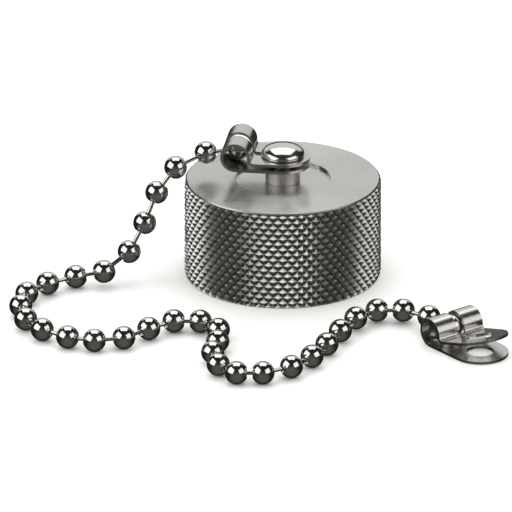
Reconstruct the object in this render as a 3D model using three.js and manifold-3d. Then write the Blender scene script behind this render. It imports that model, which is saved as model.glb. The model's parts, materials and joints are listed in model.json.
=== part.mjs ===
// A knurled screw-on protective cap tethered by a bead chain.
//
// A folded strip coupling holds each end of the chain: one turns on a shoulder rivet in the middle of the
// cap's top, the other is free and has an eyelet for a screw. Each bead is hollow and open at its back,
// and holds the ball head of the pin that stands out of the bead before it.
//
// Millimetres, +Z up. The origin is on the cap's axis, in the plane of its rim, which is also the plane
// that the cap and the chain lie on.
import * as THREE from "three";
import { mergeVertices } from "three/addons/utils/BufferGeometryUtils.js";
import Module from "manifold-3d";

const wasm = await Module();
wasm.setup();

// Driving dimensions
const CAP_RADIUS = 10.2; // over the knurl
const CAP_HEIGHT = 10.5;
const CEILING = 8.3; // underside of the cap's top
const TOP_CHAMFER = 0.3;
const RIM_CHAMFER = 0.25;
const SPOTFACE_RADIUS = 4.9; // shallow turned recess round the rivet
const SPOTFACE_DEPTH = 0.3;

const THREAD_MAJOR = 7.94; // radii of a 5/8-24 inside thread
const THREAD_MINOR = 7.35;
const THREAD_PITCH = 25.4 / 24;
const THREAD_TURNS = 5.25;
const THREAD_START = 1.15; // height of the first turn's crest
const RELIEF_RADIUS = 8.05; // plain band above the thread, round the gasket

const GASKET = { inner: 4.6, outer: 7.75, thick: 1.0 };
const BACKING_WASHER = { inner: 1.35, outer: 2.6, thick: 0.5 };

const RIVET_SHANK = 1.25; // radius, also of the neck that the eyelets turn on
const RIVET_HOLE = 1.35;
const RIVET_FLANGE = 1.8;
const RIVET_HEAD = 2.25;
const RIVET_HEAD_HEIGHT = 1.15;
const RIVET_TAIL = 2.0;
const RIVET_PLAY = 0.05; // above and below the stacked leaves

const STRIP_WIDTH = 5.8;
const STRIP_THICK = 0.3;
const KNUCKLE_RADIUS = 1.55; // outside of the rolled knuckle
const EYELET_HOLE = 1.4;
const EYELET_REACH = 4.6; // knuckle axis to eyelet centre
const ROOT_BEND = 0.5; // middle radius of the bend between knuckle and upper leaf
const LEAF_GAP = 0.4; // between the leaves where they lie closed
const SLOT_WIDTH = 0.84; // lets the chain's pin out of the knuckle, and runs on into the upper leaf's eyelet
const SLOT_START = 215; // degrees round the knuckle, 180 being the side the chain leaves
const LEAF_LIFT = 12; // underside of the lower leaf above the rim plane, at the cap
const CAP_TAB_TURN = -8; // degrees from +X to the leaves, at the cap
const END_TAB_TURN = -51; // the same at the free end
const END_TAB_PLACE = [17.33, -18.48]; // middle of the free end's knuckle
const END_LEAF_SPLAY = 15; // degrees that the free end's upper leaf stands open

const BEAD_RADIUS = 1.2;
const PIN_RADIUS = 0.22;
const PIN_HEAD = 0.62;
const BEAD_HOLE = 0.55;
const POCKET_RADIUS = 0.78;
const PIVOT_DEPTH = 0.5; // a pin head's middle, measured from the middle of the bead that holds it

const rad = THREE.MathUtils.degToRad;

// Solids

// A closed geometry as a solid that manifold can cut and join.
function solid(geometry) {
  const bare = geometry.clone();
  bare.deleteAttribute("normal");
  bare.deleteAttribute("uv");
  const merged = mergeVertices(bare, 1e-4);
  const vertex = (i) => new THREE.Vector3().fromBufferAttribute(merged.attributes.position, i);
  const corners = [];
  let volume = 0;
  for (let i = 0; i < merged.index.count; i += 3) {
    const [a, b, c] = [0, 1, 2].map((k) => merged.index.getX(i + k));
    if (a === b || b === c || c === a) continue; // a triangle shrunk to nothing on the axis
    corners.push(a, b, c);
    volume += vertex(a).dot(vertex(b).cross(vertex(c)));
  }
  if (volume < 0) corners.reverse(); // the faces point inwards, so every triangle is turned round
  return new wasm.Manifold(
    new wasm.Mesh({
      numProp: 3,
      vertProperties: new Float32Array(merged.attributes.position.array),
      triVerts: new Uint32Array(corners),
    }),
  );
}

function geometryOf(manifold) {
  const { vertProperties, triVerts } = manifold.getMesh();
  const geometry = new THREE.BufferGeometry();
  geometry.setAttribute("position", new THREE.BufferAttribute(vertProperties, 3));
  geometry.setIndex(new THREE.BufferAttribute(triVerts, 1));
  geometry.computeVertexNormals();
  return geometry;
}

// A solid of revolution about Z from [radius, height] points that run round a closed section.
function turned(points, segments) {
  const section = points.map(([r, z]) => new THREE.Vector2(r, z));
  if (points[0][0] > 0) section.push(section[0].clone());
  return solid(new THREE.LatheGeometry(section, segments).rotateX(Math.PI / 2));
}

// A washer lying between two heights.
function ring(inner, outer, bottom, top, segments) {
  return turned([[inner, bottom], [outer, bottom], [outer, top], [inner, top]], segments);
}

// The [r, z] points of an arc, in degrees from the outward direction towards +Z.
function arc([r, z], radius, from, to, steps) {
  return Array.from({ length: steps + 1 }, (_, i) => {
    const angle = rad(from + ((to - from) * i) / steps);
    return [r + radius * Math.cos(angle), z + radius * Math.sin(angle)];
  });
}

// A flat outline pushed across a strip's width: x stays, the outline's y becomes z, and the width is along y.
function acrossStrip(points, width) {
  const shape = new THREE.Shape(points.map(([x, z]) => new THREE.Vector2(x, z)));
  const geometry = new THREE.ExtrudeGeometry(shape, { depth: width, bevelEnabled: false });
  return solid(geometry.rotateX(Math.PI / 2).translate(0, width / 2, 0));
}

// Cap

// The ridge of the inside thread: a straight bar with a trapezium section, wound into a helix.
function threadRidge() {
  const root = THREAD_MAJOR + 0.16; // sunk into the wall
  const depth = root - THREAD_MINOR;
  const halfRoot = 0.43 * THREAD_PITCH;
  const halfCrest = 0.07 * THREAD_PITCH;
  const section = new THREE.Shape([
    new THREE.Vector2(0, -halfRoot),
    new THREE.Vector2(depth, -halfCrest),
    new THREE.Vector2(depth, halfCrest),
    new THREE.Vector2(0, halfRoot),
  ]);
  const bar = new THREE.ExtrudeGeometry(section, {
    depth: THREAD_TURNS,
    steps: Math.round(THREAD_TURNS * 16),
    bevelEnabled: false,
  });
  const place = bar.attributes.position;
  for (let i = 0; i < place.count; i++) {
    const turn = place.getZ(i);
    const runOut = Math.min(1, 0.3 + 5 * Math.min(turn, THREAD_TURNS - turn)); // the ends fade into the wall
    const radius = root - place.getX(i) * runOut;
    const angle = 2 * Math.PI * turn;
    place.setXYZ(
      i,
      radius * Math.cos(angle),
      radius * Math.sin(angle),
      THREAD_START + THREAD_PITCH * turn + place.getY(i),
    );
  }
  return solid(bar);
}

function capShell() {
  const floor = CAP_HEIGHT - SPOTFACE_DEPTH;
  const wall = turned(
    [
      [THREAD_MAJOR + 0.5, 0],
      [CAP_RADIUS - RIM_CHAMFER, 0],
      [CAP_RADIUS, RIM_CHAMFER],
      [CAP_RADIUS, CAP_HEIGHT - TOP_CHAMFER],
      [CAP_RADIUS - TOP_CHAMFER, CAP_HEIGHT],
      [SPOTFACE_RADIUS, CAP_HEIGHT],
      [SPOTFACE_RADIUS, floor],
      [RIVET_HOLE, floor],
      [RIVET_HOLE, CEILING],
      [RELIEF_RADIUS, CEILING],
      [RELIEF_RADIUS, CEILING - GASKET.thick],
      [THREAD_MAJOR, CEILING - GASKET.thick - 0.11],
      [THREAD_MAJOR, 0.5],
    ],
    48,
  );
  return wall.add(threadRidge());
}

function sealGasket() {
  return ring(GASKET.inner, GASKET.outer, CEILING - GASKET.thick, CEILING, 32);
}

function backingWasher() {
  return ring(BACKING_WASHER.inner, BACKING_WASHER.outer, CEILING - BACKING_WASHER.thick, CEILING, 24);
}

// Domed head, neck through the eyelets, flange on the cap, shank through it and a tail peened inside.
function rivet() {
  const stack = 2 * STRIP_THICK + LEAF_GAP;
  const underHead = LEAF_LIFT + stack + RIVET_PLAY;
  const tail = CEILING - BACKING_WASHER.thick;
  const band = 0.1; // straight side of the head, below its dome
  return turned(
    [
      [0, tail - 0.7],
      ...arc([RIVET_TAIL - 0.45, tail - 0.25], 0.45, -90, 0, 2),
      [RIVET_TAIL, tail],
      [RIVET_SHANK, tail],
      [RIVET_SHANK, CAP_HEIGHT - SPOTFACE_DEPTH],
      [RIVET_FLANGE, CAP_HEIGHT - SPOTFACE_DEPTH],
      [RIVET_FLANGE, LEAF_LIFT - RIVET_PLAY],
      [RIVET_SHANK, LEAF_LIFT - RIVET_PLAY],
      [RIVET_SHANK, underHead],
      [RIVET_HEAD, underHead],
      ...arc([0, 0], 1, 0, 75, 5).map(([r, z]) => [
        RIVET_HEAD * r,
        underHead + band + (RIVET_HEAD_HEIGHT - band) * z,
      ]),
      [0, underHead + RIVET_HEAD_HEIGHT],
    ],
    20,
  );
}

// Couplings

// One leaf: a strip with a round end about its eyelet, from x = start to the tip, with its underside at z = 0.
function leaf(start) {
  const half = STRIP_WIDTH / 2;
  const outline = new THREE.Shape();
  outline.moveTo(start, -half);
  outline.lineTo(EYELET_REACH, -half);
  outline.absarc(EYELET_REACH, 0, half, -Math.PI / 2, Math.PI / 2, false);
  outline.lineTo(start, half);
  outline.closePath();
  const eyelet = new THREE.Path();
  eyelet.absarc(EYELET_REACH, 0, EYELET_HOLE, 0, 2 * Math.PI, true);
  outline.holes.push(eyelet);
  return solid(
    new THREE.ExtrudeGeometry(outline, { depth: STRIP_THICK, bevelEnabled: false, curveSegments: 10 }),
  );
}

// A strip folded over the chain's end bead. The knuckle's axis is local Y and its middle is the local
// origin; the leaves point along +X, the lower one at the knuckle's underside. The upper leaf starts
// where the rolled knuckle ends, turns back through the root bend and stands open by the splay.
function coupling(splay) {
  const middle = KNUCKLE_RADIUS - STRIP_THICK / 2;
  const half = STRIP_THICK / 2;
  // height of the upper leaf's middle where it lies closed, which sets where the root bend leaves the knuckle
  const closedLeaf = -middle + STRIP_THICK + LEAF_GAP;
  const rollEnd = THREE.MathUtils.radToDeg(Math.asin((closedLeaf + ROOT_BEND) / (middle + ROOT_BEND))) + splay / 2;
  const bend = [(middle + ROOT_BEND) * Math.cos(rad(rollEnd)), (middle + ROOT_BEND) * Math.sin(rad(rollEnd))];
  const roll = acrossStrip(
    [
      ...arc([0, 0], KNUCKLE_RADIUS, -90, rollEnd - 360, 26),
      ...arc(bend, ROOT_BEND - half, rollEnd + 180, 270 + splay, 6),
      ...arc(bend, ROOT_BEND + half, 270 + splay, rollEnd + 180, 6),
      ...arc([0, 0], KNUCKLE_RADIUS - STRIP_THICK, rollEnd - 360, -90, 26),
    ],
    STRIP_WIDTH,
  );
  const slot = acrossStrip([[0, 0], ...arc([0, 0], 2.6, -26, SLOT_START, 14)], SLOT_WIDTH);
  const keyway = wasm.Manifold.cube([EYELET_REACH - bend[0] + 0.3, SLOT_WIDTH, 1]).translate([
    bend[0] - 0.3,
    -SLOT_WIDTH / 2,
    -0.3,
  ]);

  const lower = leaf(-0.01).translate([0, 0, -KNUCKLE_RADIUS]);
  // the upper leaf is turned about the bend's lowest point, so its eyelet keeps its distance along the strip
  const upper = leaf(bend[0] - 0.01)
    .subtract(keyway)
    .translate([-bend[0], 0, -ROOT_BEND - half])
    .rotate([0, -splay, 0])
    .translate([bend[0], 0, bend[1]]);
  return roll.subtract(slot).add(lower).add(upper);
}

// Chain

// The middles of the two knuckles, which hold the chain's end beads.
const capKnuckle = new THREE.Vector3(-EYELET_REACH, 0, LEAF_LIFT + KNUCKLE_RADIUS).applyAxisAngle(
  new THREE.Vector3(0, 0, 1),
  rad(CAP_TAB_TURN),
);
const endKnuckle = new THREE.Vector3(...END_TAB_PLACE, KNUCKLE_RADIUS);

// The chain's route, one point to a bead: from the cap's knuckle over the cap's edge, down to the floor and
// along it to the free end's knuckle. The chain lies as it fell, and its pins slide in the beads, so the
// beads stand 2.7 to 3.6 apart.
const ON_FLOOR = BEAD_RADIUS;
const ROUTE = [
  capKnuckle.toArray(),
  [-7.95, 1.1, 12.8],
  [-11.08, 0.05, 11.6],
  [-13.04, -0.57, 9.06],
  [-14.29, -1.64, 6.1],
  [-15.89, -3.01, 3.43],
  [-18.5, -4.19, 1.7],
  [-21.42, -4.33, ON_FLOOR],
  [-24.3, -6.12, ON_FLOOR],
  [-26.43, -8.79, ON_FLOOR],
  [-27.02, -12.17, ON_FLOOR],
  [-26.48, -15.65, ON_FLOOR],
  [-24.74, -18.45, ON_FLOOR],
  [-22.12, -20.45, ON_FLOOR],
  [-19.36, -21.34, ON_FLOOR],
  [-16.35, -20.65, ON_FLOOR],
  [-13.79, -18.2, ON_FLOOR],
  [-11.22, -16.18, ON_FLOOR],
  [-8.5, -16.28, ON_FLOOR],
  [-6.64, -18.44, ON_FLOOR],
  [-6.7, -21.53, ON_FLOOR],
  [-7.21, -24.46, ON_FLOOR],
  [-6.64, -27.68, ON_FLOOR],
  [-4.77, -29.91, ON_FLOOR],
  [-2.06, -29.91, ON_FLOOR],
  [0.85, -28.26, ON_FLOOR],
  [2.97, -25.53, ON_FLOOR],
  [4.51, -22.31, ON_FLOOR],
  [5.9, -19.0, 1.3],
  [7.5, -15.85, 1.38],
  [9.69, -13.58, 1.3],
  [12.4, -13.72, 1.35],
  [15.02, -16.09, 1.62],
  endKnuckle.toArray(),
];

// One bead with its middle at the local origin. from and to are the neighbouring beads' middles.
function bead(from, to) {
  let made = solid(new THREE.SphereGeometry(BEAD_RADIUS, 10, 6).rotateX(Math.PI / 2));
  const along = (geometry, direction) =>
    solid(
      geometry.applyQuaternion(
        new THREE.Quaternion().setFromUnitVectors(new THREE.Vector3(0, 1, 0), direction.clone().normalize()),
      ),
    );
  if (from) {
    const hole = new THREE.CylinderGeometry(BEAD_HOLE, BEAD_HOLE, BEAD_RADIUS, 8);
    hole.translate(0, PIVOT_DEPTH + BEAD_RADIUS / 2, 0);
    const pocket = new THREE.SphereGeometry(POCKET_RADIUS, 8, 4).translate(0, PIVOT_DEPTH, 0);
    made = made.subtract(along(hole, from)).subtract(along(pocket, from));
  }
  if (to) {
    const head = to.length() - PIVOT_DEPTH;
    const profile = [
      [0, BEAD_RADIUS - 0.35],
      [PIN_RADIUS, BEAD_RADIUS - 0.35],
      [PIN_RADIUS, head - 0.5],
      ...arc([0, head], PIN_HEAD, -30, 30, 1),
      [0, head + PIN_HEAD * 0.8],
    ].map(([r, y]) => new THREE.Vector2(r, y));
    made = made.add(along(new THREE.LatheGeometry(profile, 6), to));
  }
  // cutting the faceted ball can leave slivers beside the hole, so only the bead itself is kept
  return made.decompose().sort((a, b) => b.volume() - a.volume())[0];
}

// Materials

const metal = (color, roughness) => new THREE.MeshStandardMaterial({ color, roughness, metalness: 1 });
const knurledNickel = metal("#b8b8b4", 0.34);
const stripNickel = metal("#b4b2ae", 0.26);
const beadNickel = metal("#c4c4c2", 0.12);
const rivetNickel = metal("#cbc9c4", 0.16);
const rubber = new THREE.MeshStandardMaterial({ color: "#232322", roughness: 0.85, metalness: 0 });

// Assembly

const assembly = new THREE.Group();

function piece(name, manifold, material, parent = assembly) {
  const mesh = new THREE.Mesh(geometryOf(manifold), material);
  mesh.name = name;
  parent.add(mesh);
  return mesh;
}

piece("cap_shell", capShell(), knurledNickel);
piece("seal_gasket", sealGasket(), rubber);
piece("rivet_washer", backingWasher(), stripNickel);
piece("rivet", rivet(), rivetNickel);

const capCoupling = piece("cap_coupling", coupling(0), stripNickel);
capCoupling.position.copy(capKnuckle);
capCoupling.rotation.z = rad(CAP_TAB_TURN);

const endCoupling = piece("end_coupling", coupling(END_LEAF_SPLAY), stripNickel);
endCoupling.position.copy(endKnuckle);
endCoupling.rotation.z = rad(END_TAB_TURN);

const middles = ROUTE.map((point) => new THREE.Vector3(...point));
middles.forEach((middle, i) => {
  const towards = (other) => other && other.clone().sub(middle);
  const made = bead(towards(middles[i - 1]), towards(middles[i + 1]));
  piece(`bead_${String(i).padStart(2, "0")}`, made, beadNickel).position.copy(middle);
});

export default assembly;
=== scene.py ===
import json
import math

import bmesh
import bpy
from mathutils import Matrix, Vector

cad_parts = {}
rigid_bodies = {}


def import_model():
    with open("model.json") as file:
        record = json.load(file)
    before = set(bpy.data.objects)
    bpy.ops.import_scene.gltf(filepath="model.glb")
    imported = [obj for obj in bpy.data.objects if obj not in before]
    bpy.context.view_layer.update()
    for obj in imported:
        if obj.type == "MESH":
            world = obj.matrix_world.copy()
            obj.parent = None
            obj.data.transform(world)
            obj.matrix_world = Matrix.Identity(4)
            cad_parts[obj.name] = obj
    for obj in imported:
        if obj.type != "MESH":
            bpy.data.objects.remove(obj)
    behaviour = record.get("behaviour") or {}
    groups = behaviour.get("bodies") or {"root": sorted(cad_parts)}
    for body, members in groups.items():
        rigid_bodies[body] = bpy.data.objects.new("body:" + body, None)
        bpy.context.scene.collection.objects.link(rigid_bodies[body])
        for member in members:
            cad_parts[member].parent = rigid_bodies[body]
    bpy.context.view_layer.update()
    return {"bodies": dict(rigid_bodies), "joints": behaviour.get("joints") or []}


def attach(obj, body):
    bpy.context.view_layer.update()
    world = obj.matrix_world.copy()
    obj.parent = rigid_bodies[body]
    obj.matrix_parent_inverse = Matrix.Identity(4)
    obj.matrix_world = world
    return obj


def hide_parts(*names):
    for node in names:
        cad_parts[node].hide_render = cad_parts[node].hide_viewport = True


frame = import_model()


# The cap's shell: brass bar turned, bored and threaded 5/8-24 inside, diamond knurled round the outside
# and bright nickel plated. The knurl is pressed by two rolls before the rims are chamfered through it, so
# its diamonds end in a cut edge under the top and at the rim.
CAP_RADIUS = 10.2  # over the knurl's crests, in mm, as are all the sizes below
CAP_HEIGHT = 10.5
CEILING = 8.3
KNURL_ROUND = 62  # diamonds round the cap
KNURL_ROWS = 10
KNURL_PITCH = 1.19  # height of one diamond
KNURL_FLANK = 0.3  # first cut, at 45 degrees, and then the rounded crest
KNURL_CREST = 0.035
KNURL_LOW, KNURL_HIGH = 0.16, 10.28
PIVOT_HOLE = 1.35
RECESS_RADIUS = 4.9
RECESS_FLOOR = 10.2
THREAD_MAJOR = 7.94
THREAD_MINOR = 7.35
THREAD_PITCH = 25.4 / 24
THREAD_TURNS = 5.25
THREAD_START = 1.15
THREAD_STEPS = 48  # sections in a turn
RELIEF_RADIUS = 8.05  # above the thread, where the seal sits
RELIEF_HEIGHT = 1.0
TURN_IN = 0.5  # chamfer at the thread's mouth


def linear(hex_colour):
    """An sRGB hex colour as the linear RGBA that a socket takes."""
    channels = [int(hex_colour[i : i + 2], 16) / 255 for i in (1, 3, 5)]
    return [c / 12.92 if c <= 0.04045 else ((c + 0.055) / 1.055) ** 2.4 for c in channels] + [1.0]


def add(tree, kind, values=None, links=None, **settings):
    """Adds a node, with its settings, its sockets' values and the sockets linked to it."""
    made = tree.nodes.new(kind)
    for name, value in settings.items():
        setattr(made, name, value)
    for socket, value in (values or {}).items():
        made.inputs[socket].default_value = value
    for socket, source in (links or {}).items():
        tree.links.new(source, made.inputs[socket])
    return made


def remap(tree, value, start, end, low=0.0, high=1.0):
    """What runs from start to end now runs from low to high, and stays within them."""
    sockets = {"From Min": start, "From Max": end, "To Min": low, "To Max": high}
    return add(tree, "ShaderNodeMapRange", sockets, {"Value": value}).outputs["Result"]


def tint(tree, share, first, second):
    """A mix of two sRGB hex colours."""
    sockets = {6: linear(first), 7: linear(second)}
    return add(tree, "ShaderNodeMix", sockets, {0: share}, data_type="RGBA").outputs[2]


def finish(name, values, wires=None):
    """A material of one Principled shader. wires(tree) returns the sockets linked to it."""
    material = bpy.data.materials.new(name)
    material.use_nodes = True
    tree = material.node_tree
    tree.nodes.clear()
    shader = add(tree, "ShaderNodeBsdfPrincipled", values, wires(tree) if wires else None)
    add(tree, "ShaderNodeOutputMaterial", links={"Surface": shader.outputs["BSDF"]})
    return material


def set_down(name, bm, material, body, slot, *nodes, sharp=35):
    """A finished mesh, in mm about its real place, becomes the object that stands for those CAD nodes."""
    bmesh.ops.scale(bm, vec=(0.001, 0.001, 0.001), verts=bm.verts)
    mesh = bpy.data.meshes.new(name)
    bm.to_mesh(mesh)
    bm.free()
    mesh.polygons.foreach_set("use_smooth", [True] * len(mesh.polygons))
    mesh.set_sharp_from_angle(angle=math.radians(sharp))
    mesh.materials.append(material)
    placed = bpy.data.objects.new(name, mesh)
    bpy.context.scene.collection.objects.link(placed)
    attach(placed, body)
    if nodes:
        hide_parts(*nodes)
    return placed


def turn_to(bm, edges, radius, height):
    """Draws a ring of edges on to the next radius and height of a turned section, and returns the new ring."""
    drawn = bmesh.ops.extrude_edge_only(bm, edges=edges)["geom"]
    for corner in (v for v in drawn if isinstance(v, bmesh.types.BMVert)):
        corner.co.xy = corner.co.xy.normalized() * radius
        corner.co.z = height
    return [e for e in drawn if isinstance(e, bmesh.types.BMEdge)]


def knurled_shell():
    bm = bmesh.new()
    # a net of crossed grooves, rolled round the cap: each cell is poked, and dissolving its own sides leaves diamonds
    bmesh.ops.create_grid(bm, x_segments=KNURL_ROUND, y_segments=KNURL_ROWS, size=1)
    grooves = CAP_RADIUS - KNURL_FLANK - KNURL_CREST
    tall = KNURL_ROWS * KNURL_PITCH
    low = KNURL_HIGH - (KNURL_ROWS - 1 + 0.2) * KNURL_PITCH
    sides = bm.edges[:]
    bmesh.ops.poke(bm, faces=bm.faces[:])
    for corner in bm.verts:
        round_at = math.pi * corner.co.x
        height = low + (corner.co.y + 1) / 2 * tall
        corner.co = (grooves * math.cos(round_at), grooves * math.sin(round_at), height)
    bmesh.ops.remove_doubles(bm, verts=bm.verts, dist=1e-4)
    sides = [e for e in sides if e.is_valid and len(e.link_faces) == 2]
    bmesh.ops.dissolve_edges(bm, edges=sides, use_verts=False)
    diamonds = [f for f in bm.faces if len(f.verts) == 4]
    for thickness, depth in ((KNURL_FLANK, KNURL_FLANK), (0.05, KNURL_CREST)):
        bmesh.ops.inset_individual(bm, faces=diamonds, thickness=thickness, depth=depth, use_even_offset=True)
    for height, up in ((KNURL_HIGH, 1), (KNURL_LOW, -1)):
        bmesh.ops.bisect_plane(
            bm, geom=bm.verts[:] + bm.edges[:] + bm.faces[:], dist=1e-5,
            plane_co=(0, 0, height), plane_no=(0, 0, up), clear_outer=True,
        )
    rims = [e for e in bm.edges if e.is_boundary]
    upper = [e for e in rims if e.verts[0].co.z > CAP_HEIGHT / 2]
    lower = [e for e in rims if e.verts[0].co.z < CAP_HEIGHT / 2]
    for radius, height in (
        (10.08, 10.34), (9.94, 10.49), (9.92, 10.5), (RECESS_RADIUS + 0.05, 10.5), (RECESS_RADIUS, 10.45),
        (RECESS_RADIUS, RECESS_FLOOR + 0.04), (RECESS_RADIUS - 0.04, RECESS_FLOOR),
        (PIVOT_HOLE + 0.06, RECESS_FLOOR), (PIVOT_HOLE, RECESS_FLOOR - 0.06), (PIVOT_HOLE, CEILING),
        (RELIEF_RADIUS, CEILING), (RELIEF_RADIUS, CEILING - RELIEF_HEIGHT),
        (THREAD_MAJOR, CEILING - RELIEF_HEIGHT - (RELIEF_RADIUS - THREAD_MAJOR)),
        (THREAD_MAJOR, TURN_IN), (THREAD_MAJOR + TURN_IN, 0),
    ):
        upper = turn_to(bm, upper, radius, height)
    for radius, height in ((10.06, 0.06), (9.97, 0)):
        lower = turn_to(bm, lower, radius, height)
    bmesh.ops.bridge_loops(bm, edges=upper + lower)

    # the thread: a trapezium wound up the bore, its two ends drawn down into the wall
    steps = int(THREAD_TURNS * THREAD_STEPS)
    sunk = THREAD_MAJOR + 0.16
    bar = [
        bm.verts.new((radius, 0, THREAD_START + THREAD_PITCH * height))
        for radius, height in ((sunk, -0.43), (sunk, 0.43), (THREAD_MINOR, 0.07), (THREAD_MINOR, -0.07))
    ]
    end = bm.faces.new(bar)
    wound = bmesh.ops.spin(
        bm, geom=[end, *end.edges, *bar], axis=(0, 0, 1), cent=(0, 0, 0),
        dvec=(0, 0, THREAD_PITCH * THREAD_TURNS / steps), angle=math.tau * THREAD_TURNS,
        steps=steps, use_duplicate=True, use_merge=False,
    )["geom_last"]
    for corners in (bar, [v for v in wound if isinstance(v, bmesh.types.BMVert)]):
        for corner in corners:
            corner.co.xy = corner.co.xy.normalized() * (sunk - 0.3 * (sunk - corner.co.xy.length))
    bmesh.ops.recalc_face_normals(bm, faces=bm.faces[:])
    return bm


def knurled_wires(tree):
    place = add(tree, "ShaderNodeTexCoord").outputs["Object"]
    # distance from the cap's axis, in metres: the grooves' bottoms are painted darker as painted shade in the
    # grooves, and the crests, the top's chamfer and the top keep the light colour
    flat = add(tree, "ShaderNodeVectorMath", {1: (1, 1, 0)}, {0: place}, operation="MULTIPLY")
    reach = add(tree, "ShaderNodeVectorMath", links={0: flat.outputs["Vector"]}, operation="LENGTH").outputs["Value"]
    crest = remap(tree, reach, 0.00987, 0.01012)
    inner = remap(tree, reach, 0.00983, 0.00976)
    height = add(tree, "ShaderNodeSeparateXYZ", links={"Vector": place}).outputs["Z"]
    top = remap(tree, height, 0.01036, 0.01042)
    painted_groove_shade_mask = add(tree, "ShaderNodeMath", links={0: crest, 1: inner}, operation="MAXIMUM").outputs["Value"]
    painted_groove_shade_mask = add(tree, "ShaderNodeMath", links={0: painted_groove_shade_mask, 1: top}, operation="MAXIMUM").outputs["Value"]
    # handled plating: cloudy patches 2 to 3 mm across
    cloud = add(tree, "ShaderNodeTexNoise", {"Scale": 420.0, "Detail": 3.0}, {"Vector": place}).outputs["Fac"]
    return {
        # the base colour carries painted shade: dark in the grooves' bottoms, light on the crests and the top
        "Base Color": tint(tree, painted_groove_shade_mask, "#8E8B86", "#C9C8C4"),
        "Roughness": remap(tree, cloud, 0.3, 0.7, 0.25, 0.36),
        # turning marks run round the top, so what it mirrors is drawn out from the middle
        "Anisotropic": remap(tree, reach, 0.00983, 0.00976, 0.0, 0.75),
        "Tangent": add(tree, "ShaderNodeTangent", direction_type="RADIAL", axis="Z").outputs["Tangent"],
    }


# bright nickel over knurled brass: neutral, half bright, sparkling where a flank faces a light, with painted shade
# darkening the grooves' bottoms
knurled_nickel = finish(
    "bright_nickel_on_knurled_brass", {"Metallic": 1.0, "Anisotropic Rotation": 0.25}, wires=knurled_wires
)
set_down("knurled_cap", knurled_shell(), knurled_nickel, "cap", "knurled_nickel", "cap_shell", sharp=20)


# The seal: a flat washer punched from black rubber sheet and pressed into the relief above the thread,
# where it lies against the ceiling.
def turned_ring(profile, steps):
    """A closed section of [radius, height] points, turned all the way round the cap's axis."""
    bm = bmesh.new()
    corners = [bm.verts.new((radius, 0, height)) for radius, height in profile]
    section = bm.faces.new(corners)
    bmesh.ops.spin(
        bm, geom=[section, *section.edges, *corners], axis=(0, 0, 1), cent=(0, 0, 0), dvec=(0, 0, 0),
        angle=math.tau, steps=steps, use_merge=True, use_duplicate=False,
    )
    bmesh.ops.remove_doubles(bm, verts=bm.verts, dist=1e-4)
    inside = [f for f in bm.faces if all(abs(v.co.y) < 1e-4 and v.co.x > -1e-4 for v in f.verts)]
    bmesh.ops.delete(bm, geom=inside, context="FACES")
    bmesh.ops.recalc_face_normals(bm, faces=bm.faces[:])
    return bm


def rubber_wires(tree):
    place = add(tree, "ShaderNodeTexCoord").outputs["Object"]
    grain = add(tree, "ShaderNodeTexNoise", {"Scale": 6000.0, "Detail": 4.0}, {"Vector": place}).outputs["Fac"]
    pores = add(tree, "ShaderNodeBump", {"Strength": 0.4, "Distance": 0.00002}, {"Height": grain}).outputs["Normal"]
    return {"Base Color": tint(tree, grain, "#1B1B1A", "#2C2C2A"), "Normal": pores}


# calendered sheet rubber: black with a fine dull grain
seal_rubber = finish("calendered_black_rubber", {"Roughness": 0.72}, wires=rubber_wires)
seal = turned_ring(
    [(4.6, 7.34), (4.64, 7.3), (7.71, 7.3), (7.75, 7.34), (7.75, 8.27), (7.72, 8.3), (4.63, 8.3), (4.6, 8.27)], 96
)
set_down("rubber_seal", seal, seal_rubber, "cap", "seal_rubber", "seal_gasket")


# The pivot: a turned brass shoulder rivet, nickel plated. Its domed head is polished, its flange stands on
# the cap, its neck carries the two eyelets, and its shank is peened over a thin washer inside the cap.
def rivet_wires(tree):
    place = add(tree, "ShaderNodeTexCoord").outputs["Object"]
    smear = add(tree, "ShaderNodeTexNoise", {"Scale": 900.0, "Detail": 3.0}, {"Vector": place}).outputs["Fac"]
    rough = remap(tree, smear, 0.3, 0.7, 0.11, 0.2)
    # below the head the polishing wheel doesn't reach, and the turned flange stays dull
    height = add(tree, "ShaderNodeSeparateXYZ", links={"Vector": place}).outputs["Z"]
    dull = remap(tree, height, 0.0124, 0.0120, 0.0, 0.3)
    return {"Roughness": add(tree, "ShaderNodeMath", links={0: rough, 1: dull}).outputs["Value"]}


# polished nickel: the dome mirrors the lights softly, and the flange under it only glows
rivet_nickel = finish(
    "polished_nickel_rivet", {"Metallic": 1.0, "Base Color": linear("#D6D3CD")}, wires=rivet_wires
)
HEAD_RADIUS = 2.25
HEAD_RISE = 1.05  # of the dome, over the head's short upright side
HEAD_SIDE = 13.15
rivet = turned_ring(
    [
        (0, 7.1), (1.5, 7.1), (1.8, 7.17), (1.95, 7.34), (2.0, 7.55), (2.0, 7.76), (1.96, 7.8), (1.25, 7.8),
        (1.25, 10.2), (1.74, 10.2), (1.8, 10.26), (1.8, 11.89), (1.74, 11.95), (1.25, 11.95),
        (1.25, 13.05), (2.17, 13.05), (2.23, 13.08),
        *[
            (HEAD_RADIUS * math.cos(a), HEAD_SIDE + HEAD_RISE * math.sin(a))
            for a in (math.pi * k / 28 for k in range(14))
        ],
        (0, HEAD_SIDE + HEAD_RISE),
    ],
    72,
)
set_down("shoulder_rivet", rivet, rivet_nickel, "cap", "rivet_nickel", "rivet")


# The couplings: nickel plated brass strip, blanked with an eyelet at each end and a slot that runs into
# one of them, then folded over the chain's last bead. The lower leaf runs into the knuckle that holds the
# bead, and the upper leaf turns back through a tight bend at its root. The slot lets the chain's pin swing.
STRIP_WIDTH = 5.8
STRIP_THICK = 0.3
EYELET_HOLE = 1.4
EYELET_REACH = 4.6  # knuckle's middle to eyelet
KNUCKLE_MIDDLE = 1.4  # radius of the strip's middle round the knuckle
ROOT_BEND = 0.5
LEAF_GAP = 0.4
SLOT_WIDTH = 0.96
SLOT_START = 215  # degrees round the knuckle, 180 being the side that the chain leaves
TUMBLED_EDGE = 0.12


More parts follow.
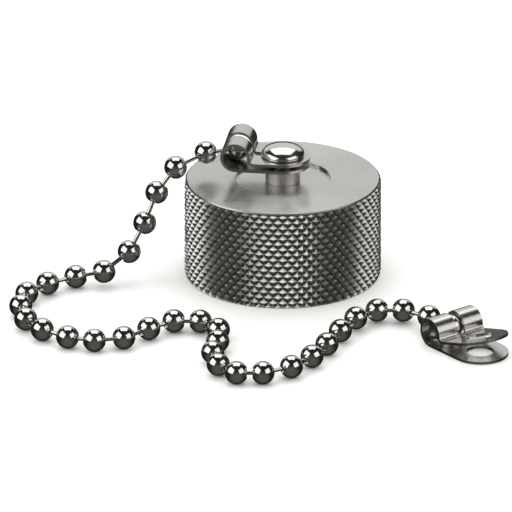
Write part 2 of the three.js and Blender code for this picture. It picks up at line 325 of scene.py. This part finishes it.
def folded_strip(middle, turn, splay):
    closed_leaf = -KNUCKLE_MIDDLE + STRIP_THICK + LEAF_GAP
    roll_end = math.asin((closed_leaf + ROOT_BEND) / (KNUCKLE_MIDDLE + ROOT_BEND)) + math.radians(splay) / 2
    root = (KNUCKLE_MIDDLE + ROOT_BEND) * Vector((math.cos(roll_end), math.sin(roll_end)))
    rolled = KNUCKLE_MIDDLE * (1.5 * math.pi - roll_end)  # length of strip in the knuckle
    bent = ROOT_BEND * (0.5 * math.pi + math.radians(splay) - roll_end)
    far_eyelet = rolled + bent + EYELET_REACH - root.x

    # the blank lies flat, its length along X: each outline is two arcs, from a middle on the X axis, a radius
    # and the angles at which the arc starts and ends
    bm = bmesh.new()
    half = SLOT_WIDTH / 2
    slot_from = KNUCKLE_MIDDLE * math.radians(270 - SLOT_START) + half
    mouth = math.degrees(math.asin(half / EYELET_HOLE))
    for outline in (
        ((far_eyelet, STRIP_WIDTH / 2, -90, 90), (-EYELET_REACH, STRIP_WIDTH / 2, 90, 270)),
        ((far_eyelet, EYELET_HOLE, mouth - 180, 180 - mouth), (slot_from, half, 90, 270)),
        ((-EYELET_REACH, EYELET_HOLE, -90, 86), (-EYELET_REACH, EYELET_HOLE, 90, 266)),
    ):
        corners = []
        for centre, radius, start, end in outline:
            for step in range(25):
                at = math.radians(start + (end - start) * step / 24)
                corners.append(bm.verts.new((centre + radius * math.cos(at), radius * math.sin(at), 0)))
        for a, b in zip(corners, corners[1:] + corners[:1]):
            bm.edges.new((a, b))
    bmesh.ops.triangle_fill(bm, edges=bm.edges[:], use_beauty=True, normal=(0, 0, 1))
    stations = [rolled * i / 36 for i in range(37)] + [rolled + bent * i / 12 for i in range(1, 13)]
    for station in stations:
        bmesh.ops.bisect_plane(
            bm, geom=bm.verts[:] + bm.edges[:] + bm.faces[:], dist=1e-5,
            plane_co=(station, 0, 0), plane_no=(1, 0, 0),
        )
    along = bm.loops.layers.uv.new("along_strip")  # in mm, so that the rolling marks follow the strip
    for face in bm.faces:
        for corner in face.loops:
            corner[along].uv = corner.vert.co.xy
    for corner in bm.verts:
        s = corner.co.x
        if s <= 0:
            corner.co.x, corner.co.z = -s, -KNUCKLE_MIDDLE
        elif s <= rolled:
            at = -0.5 * math.pi - s / KNUCKLE_MIDDLE
            corner.co.x, corner.co.z = KNUCKLE_MIDDLE * math.cos(at), KNUCKLE_MIDDLE * math.sin(at)
        elif s <= rolled + bent:
            at = roll_end + math.pi + (s - rolled) / ROOT_BEND
            corner.co.x, corner.co.z = root.x + ROOT_BEND * math.cos(at), root.y + ROOT_BEND * math.sin(at)
        else:
            past, lean = s - rolled - bent, math.radians(splay)
            corner.co.x = root.x + ROOT_BEND * math.sin(lean) + past * math.cos(lean)
            corner.co.z = root.y - ROOT_BEND * math.cos(lean) + past * math.sin(lean)
    stand = Matrix.Translation(middle) @ Matrix.Rotation(math.radians(turn), 4, "Z")
    bmesh.ops.transform(bm, matrix=stand, verts=bm.verts)
    return bm


def strip_wires(tree):
    along = add(tree, "ShaderNodeUVMap", uv_map="along_strip").outputs["UV"]
    # rolled sheet: streaks 0.15 mm wide and some 4 mm long down the strip
    stretched = add(tree, "ShaderNodeMapping", {"Scale": (0.25, 6.5, 1.0)}, {"Vector": along}).outputs["Vector"]
    streaks = add(tree, "ShaderNodeTexNoise", {"Scale": 1.0, "Detail": 3.0}, {"Vector": stretched}).outputs["Fac"]
    return {
        "Base Color": tint(tree, streaks, "#C4C2BD", "#CDCBC6"),
        "Roughness": remap(tree, streaks, 0.3, 0.7, 0.2, 0.26),
    }


# nickel on rolled strip: satin, streaked faintly along its length
strip_nickel = finish("satin_nickel_on_rolled_strip", {"Metallic": 1.0}, wires=strip_wires)
joints = {j["name"]: j for j in frame["joints"]}
cap_knuckle = 1000 * Vector(joints["chain_lift"]["pos_m"])
end_knuckle = 1000 * Vector(joints["end_tab_lift"]["pos_m"])
for name, middle, turn, splay, body, node in (
    ("cap_coupling_strip", cap_knuckle, -8, 0, "cap_tab", "cap_coupling"),
    ("end_coupling_strip", end_knuckle, -51, 15, "end_tab", "end_coupling"),
):
    strip = set_down(name, folded_strip(middle, turn, splay), strip_nickel, body, "strip_nickel", node, sharp=40)
    wall = strip.modifiers.new("sheet", "SOLIDIFY")
    wall.thickness, wall.offset, wall.use_even_offset = 0.001 * STRIP_THICK, 0, True
    edge = strip.modifiers.new("tumbled_edges", "BEVEL")
    edge.width, edge.segments = 0.001 * TUMBLED_EDGE, 4
    edge.limit_method, edge.angle_limit = "ANGLE", math.radians(50)
    edge.harden_normals = True

# The backing washer: punched and nickel plated, under the rivet's peened end, inside the cap. Plain bright
# nickel, a little darker than the rivet.
backing = turned_ring([(1.35, 7.8), (2.56, 7.8), (2.6, 7.84), (2.6, 8.27), (2.57, 8.3), (1.35, 8.3)], 64)
washer_nickel = finish(
    "bright_nickel_washer", {"Metallic": 1.0, "Base Color": linear("#C8C5BF")}, wires=rivet_wires
)
set_down("backing_washer", backing, washer_nickel, "cap", "strip_nickel", "rivet_washer")


# The chain: hollow beads of 2.4 mm rolled from brass strip, nickel plated and barrel polished, joined by
# short pins with a ball on each end. A pin's balls are caught inside two neighbouring beads.
BEAD_RADIUS = 1.2
BEAD_WALL = 0.22
BEAD_HOLE = 0.55
PIN_RADIUS = 0.22
PIN_BALL = 0.6
PIVOT_DEPTH = 0.5  # from a bead's middle to the ball that it holds
ROLLED_LIP = 0.06


def bead_wires(tree):
    place = add(tree, "ShaderNodeTexCoord").outputs["Object"]
    smudge = add(tree, "ShaderNodeTexNoise", {"Scale": 700.0, "Detail": 3.0}, {"Vector": place}).outputs["Fac"]
    return {
        "Base Color": tint(tree, smudge, "#C9C6C0", "#D8D6D1"),
        "Roughness": remap(tree, smudge, 0.3, 0.7, 0.06, 0.13),
    }


# barrel polished nickel: nearly a mirror, with a faint cloudiness from handling
bead_nickel = finish("barrel_polished_nickel", {"Metallic": 1.0}, wires=bead_wires)

LINKS = sum(name.startswith("link_") for name in frame["bodies"])
middles, pins = [cap_knuckle], []
for k in range(1, LINKS):
    pivot = 1000 * Vector(joints[f"link_{k:02d}_bend"]["pos_m"])
    way = (pivot - middles[-1]).normalized()
    pins.append((middles[-1] + PIVOT_DEPTH * way, pivot))
    middles.append(pivot + PIVOT_DEPTH * way)


def hollow_bead(k):
    bm = bmesh.new()
    bmesh.ops.create_uvsphere(bm, u_segments=32, v_segments=20, radius=BEAD_RADIUS)
    for other in (k - 1, k + 1):
        if 0 <= other < LINKS:
            way = (middles[other] - middles[k]).normalized()
            bmesh.ops.bisect_plane(
                bm, geom=bm.verts[:] + bm.edges[:] + bm.faces[:], dist=1e-5,
                plane_co=way * math.sqrt(BEAD_RADIUS**2 - BEAD_HOLE**2), plane_no=way, clear_outer=True,
            )
    bmesh.ops.translate(bm, verts=bm.verts, vec=middles[k])
    return bm


def ball_ended_pin(start, end):
    long = (end - start).length
    bm = bmesh.new()
    ball = [(PIN_BALL * math.sin(a), PIN_BALL * math.cos(a)) for a in (0, 0.5, 1.0, 1.5, 2.0, 2.5)]
    profile = [(r, -z) for r, z in ball if r > PIN_RADIUS * 0.9 or z > 0] + [(PIN_RADIUS, PIN_BALL * 0.9)]
    profile = profile + [(r, long - z) for r, z in reversed(profile)]
    corners = [bm.verts.new((r, 0, z)) for r, z in profile]
    for a, b in zip(corners, corners[1:]):
        bm.edges.new((a, b))
    bmesh.ops.spin(
        bm, geom=bm.verts[:] + bm.edges[:], axis=(0, 0, 1), cent=(0, 0, 0), dvec=(0, 0, 0),
        angle=math.tau, steps=20, use_merge=True, use_duplicate=False,
    )
    bmesh.ops.remove_doubles(bm, verts=bm.verts, dist=1e-4)
    bmesh.ops.recalc_face_normals(bm, faces=bm.faces[:])
    stand = (end - start).to_track_quat("Z", "Y").to_matrix().to_4x4()
    bmesh.ops.transform(bm, matrix=Matrix.Translation(start) @ stand, verts=bm.verts)
    return bm


for k in range(LINKS):
    bead = set_down(
        f"hollow_bead_{k:02d}", hollow_bead(k), bead_nickel, f"link_{k:02d}", "bead_nickel", f"bead_{k:02d}", sharp=60
    )
    wall = bead.modifiers.new("wall", "SOLIDIFY")
    wall.thickness, wall.offset = 0.001 * BEAD_WALL, -1
    lip = bead.modifiers.new("rolled_lips", "BEVEL")
    lip.width, lip.segments = 0.001 * ROLLED_LIP, 3
    lip.limit_method, lip.angle_limit = "ANGLE", math.radians(40)
    lip.harden_normals = True
for k, (start, end) in enumerate(pins):
    set_down(f"chain_pin_{k:02d}", ball_ended_pin(start, end), bead_nickel, f"link_{k:02d}", "bead_nickel")


# The table: a plain pale sheet that runs out of sight. It isn't part of the object.
bm = bmesh.new()
bmesh.ops.create_grid(bm, x_segments=1, y_segments=1, size=4000)
bmesh.ops.translate(bm, verts=bm.verts, vec=(0, 0, -0.02))
bmesh.ops.scale(bm, vec=(0.001, 0.001, 0.001), verts=bm.verts)
sheet = bpy.data.meshes.new("pale_table")
bm.to_mesh(sheet)
bm.free()
# matt paper: plain white, and it takes only a faint shadow
sheet.materials.append(finish("matt_white_paper", {"Base Color": linear("#F4F4F2"), "Roughness": 0.9}))
table = bpy.data.objects.new("pale_table", sheet)
bpy.context.scene.collection.objects.link(table)
table.visible_glossy = False  # the room below the object is dark in the metal, as under a light tent

# The room is pale all round and dark in the metal, so that only the soft lights show in it, but for a
# little light off the table's near part.
room = bpy.data.worlds.new("pale_room")
room.use_nodes = True
tree = room.node_tree
tree.nodes.clear()
path = add(tree, "ShaderNodeLightPath")
pale = add(tree, "ShaderNodeBackground", {"Color": linear("#F7F7F6"), "Strength": 0.95})
way = add(tree, "ShaderNodeTexCoord").outputs["Generated"]
near = add(tree, "ShaderNodeVectorMath", {1: (0, -0.8, -0.6)}, {0: way}, operation="DOT_PRODUCT").outputs["Value"]
off_table = remap(tree, near, 0.25, 0.85, 0.022, 0.12)
dim = add(tree, "ShaderNodeBackground", {"Color": linear("#FFFEFC")}, {"Strength": off_table})
both = add(
    tree, "ShaderNodeMixShader",
    links={0: path.outputs["Is Glossy Ray"], 1: pale.outputs["Background"], 2: dim.outputs["Background"]},
)
add(tree, "ShaderNodeOutputWorld", links={"Surface": both.outputs["Shader"]})
bpy.context.scene.world = room
bpy.context.scene.view_settings.view_transform = "Standard"

# Soft lights, by their azimuth from the front, their elevation, and their width, height and brightness.
AIM = Vector((-0.002, -0.005, 0.006))
LIGHT_REACH = 0.6
for name, azimuth, elevation, width, height, glow in (
    ("left_softbox", -68, 29, 0.70, 0.50, 1.75),
    ("right_softbox", 57, 29, 0.56, 0.42, 1.4),
    ("back_panel", 180, 24, 0.80, 0.32, 0.80),
    ("overhead_softbox", 180, 63.5, 0.53, 0.50, 1.75),
):
    a, e = math.radians(azimuth), math.radians(elevation)
    out = Vector((math.sin(a) * math.cos(e), -math.cos(a) * math.cos(e), math.sin(e)))
    lamp = bpy.data.lights.new(name, "AREA")
    lamp.shape, lamp.size, lamp.size_y, lamp.energy = "RECTANGLE", width, height, math.pi * width * height * glow
    softbox = bpy.data.objects.new(name, lamp)
    softbox.location = AIM + LIGHT_REACH * out
    softbox.rotation_mode = "QUATERNION"
    softbox.rotation_quaternion = (-out).to_track_quat("-Z", "Y")
    softbox.visible_camera = False
    bpy.context.scene.collection.objects.link(softbox)

# The camera: a long lens from the front, a little above the cap's top.
LOOK_AT = Vector((-0.002773, 0.00405, 0))
ELEVATION = math.radians(22.6)
CAMERA_REACH = 2.0676
back = Vector((0, -math.cos(ELEVATION), math.sin(ELEVATION)))
lens = bpy.data.cameras.new("long_lens")
lens.sensor_width, lens.lens, lens.clip_start, lens.clip_end = 36, 1400, 0.1, 20
camera = bpy.data.objects.new("long_lens", lens)
camera.location = LOOK_AT + CAMERA_REACH * back
camera.rotation_mode = "QUATERNION"
camera.rotation_quaternion = (-back).to_track_quat("-Z", "Y")
bpy.context.scene.collection.objects.link(camera)
bpy.context.scene.camera = camera
